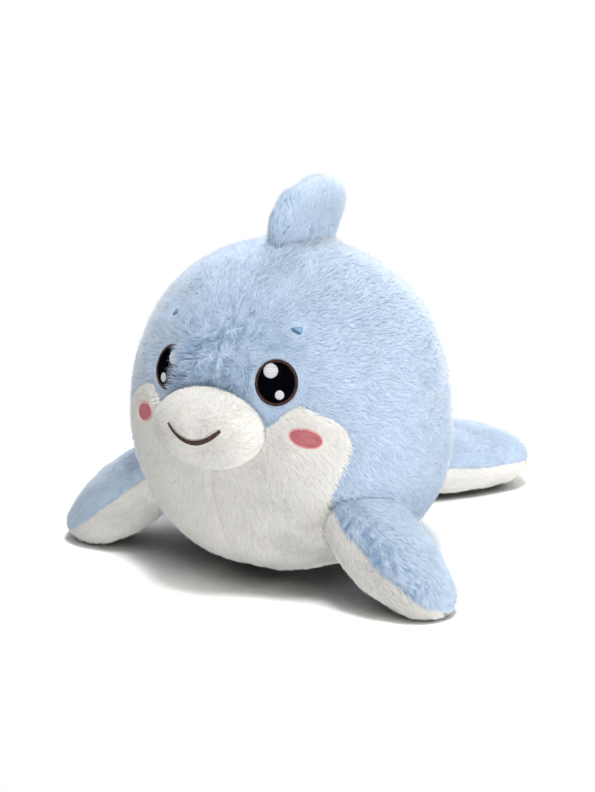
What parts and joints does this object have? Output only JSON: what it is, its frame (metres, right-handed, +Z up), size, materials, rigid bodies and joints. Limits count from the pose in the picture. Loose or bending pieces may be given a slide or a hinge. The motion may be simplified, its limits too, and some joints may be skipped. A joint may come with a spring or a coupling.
{
  "type": "plush dolphin",
  "caption": "Round ball-shaped plush dolphin with a muzzle pad, dorsal fin, flippers, tail flukes and an embroidered face; rests on its belly.",
  "frame": {"origin": "centre of the flat spot under the belly, on the surface that the toy sits on", "axes": "+Z up, -Y towards the nose, +Y towards the tail, +X towards the dolphin's left"},
  "size_m": [0.3242, 0.3971, 0.2759],
  "materials": {
    "blue_plush": "short soft pile, combed, baby blue",
    "white_plush": "short soft pile, combed, warm white",
    "stuffing": "loose white polyester filling",
    "black_thread": "black satin-stitch embroidery",
    "white_thread": "white satin-stitch embroidery",
    "brown_thread": "dark brown satin-stitch embroidery",
    "rose_thread": "dusty rose embroidery",
    "tuck_thread": "blue tuck sewn into the pile"
  },
  "bodies": {
    "root": {"back_left_panel": "blue_plush", "back_right_panel": "blue_plush", "belly_panel": "white_plush", "body_stuffing": "stuffing", "fin_left_panel": "blue_plush", "fin_right_panel": "blue_plush", "fin_stuffing": "stuffing", "left_brow_tuck": "tuck_thread", "left_cheek": "rose_thread", "left_eye_black": "black_thread", "left_eye_large_highlight": "white_thread", "left_eye_rim": "brown_thread", "left_eye_small_highlight": "white_thread", "left_flipper_bottom_panel": "white_plush", "left_flipper_stuffing": "stuffing", "left_flipper_top_panel": "blue_plush", "mouth_stitch": "brown_thread", "muzzle_cover": "white_plush", "muzzle_stuffing": "stuffing", "right_brow_tuck": "tuck_thread", "right_cheek": "rose_thread", "right_eye_black": "black_thread", "right_eye_large_highlight": "white_thread", "right_eye_rim": "brown_thread", "right_eye_small_highlight": "white_thread", "right_flipper_bottom_panel": "white_plush", "right_flipper_stuffing": "stuffing", "right_flipper_top_panel": "blue_plush", "tail_bottom_panel": "white_plush", "tail_stuffing": "stuffing", "tail_top_panel": "blue_plush"}
  },
  "joints": []
}
